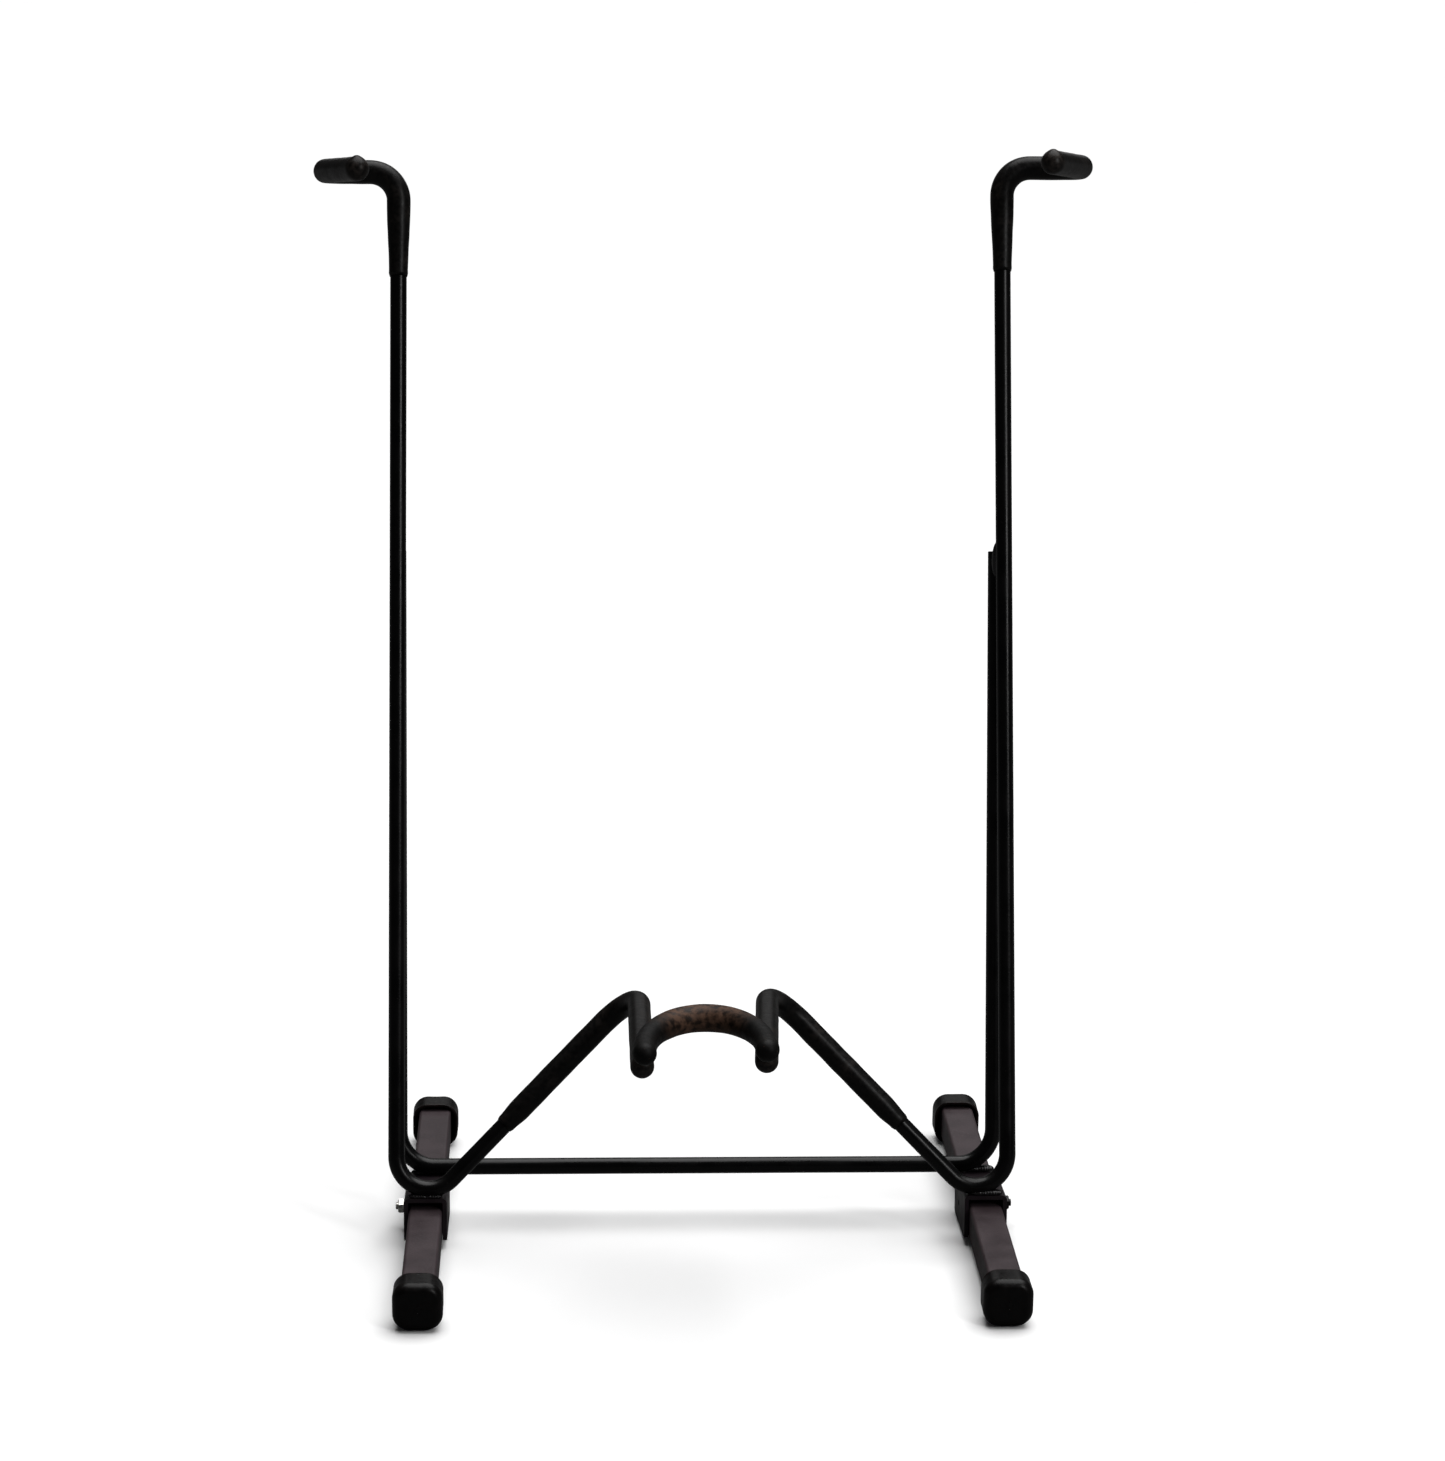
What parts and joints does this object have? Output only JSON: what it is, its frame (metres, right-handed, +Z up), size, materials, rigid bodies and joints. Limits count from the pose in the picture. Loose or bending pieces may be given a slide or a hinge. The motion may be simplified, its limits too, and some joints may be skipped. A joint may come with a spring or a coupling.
{
  "type": "bowed instrument floor stand",
  "caption": "Floor stand of bent black rod on square-tube feet, with a rubber-covered yoke below and two hooks above for a large bowed instrument.",
  "frame": {"origin": "on the floor, at the centre of the bounding box seen from above", "axes": "+Z up, the open front with the hooks and the yoke's mouth faces -Y, +X is the right-hand side seen from the front"},
  "size_m": [0.6007, 0.4075, 0.8203],
  "materials": {
    "rod_paint": "satin black paint, slightly mottled, on round bar",
    "tube_paint": "semi-matt charcoal paint on square tube, scuffed",
    "bracket_paint": "satin black paint on plate",
    "weld_paint": "rippled weld bead under black paint",
    "cap_rubber": "moulded black rubber with a faint brown cast",
    "sleeve_rubber": "black rubber tubing, fine pitted surface",
    "yoke_rubber": "aged brown-black rubber, mottled and cracked where it is rubbed",
    "zinc_hardware": "bright zinc plate",
    "black_hardware": "blackened screw and nut"
  },
  "bodies": {
    "frame": {"left_side_rod": "rod_paint", "left_hook_sleeve": "sleeve_rubber", "left_seat_sleeve": "sleeve_rubber", "left_bracket": "bracket_paint", "left_pivot_screw": "zinc_hardware", "left_pivot_washer": "zinc_hardware", "left_pivot_nut": "zinc_hardware", "left_rod_weld": "weld_paint", "left_crossbar_weld": "weld_paint", "left_brace_weld": "weld_paint", "right_side_rod": "rod_paint", "right_hook_sleeve": "sleeve_rubber", "right_seat_sleeve": "sleeve_rubber", "right_bracket": "bracket_paint", "right_pivot_screw": "black_hardware", "right_pivot_washer": "black_hardware", "right_pivot_nut": "black_hardware", "right_rod_weld": "weld_paint", "right_crossbar_weld": "weld_paint", "right_brace_weld": "weld_paint", "yoke_rod": "rod_paint", "yoke_sleeve": "yoke_rubber", "rear_brace": "rod_paint"},
    "left_foot": {"left_foot_tube": "tube_paint", "left_front_cap": "cap_rubber", "left_rear_cap": "cap_rubber"},
    "right_foot": {"right_foot_tube": "tube_paint", "right_front_cap": "cap_rubber", "right_rear_cap": "cap_rubber"}
  },
  "joints": [
    {"name": "left_foot_rock", "type": "hinge", "parent": "frame", "child": "left_foot", "pos_m": [-0.2144, -0.0074, 0.0185], "axis": [-1, 0, 0], "range_deg": [0, 7.2]},
    {"name": "right_foot_rock", "type": "hinge", "parent": "frame", "child": "right_foot", "pos_m": [0.2144, -0.0074, 0.0185], "axis": [-1, 0, 0], "range_deg": [0, 7.2]}
  ]
}
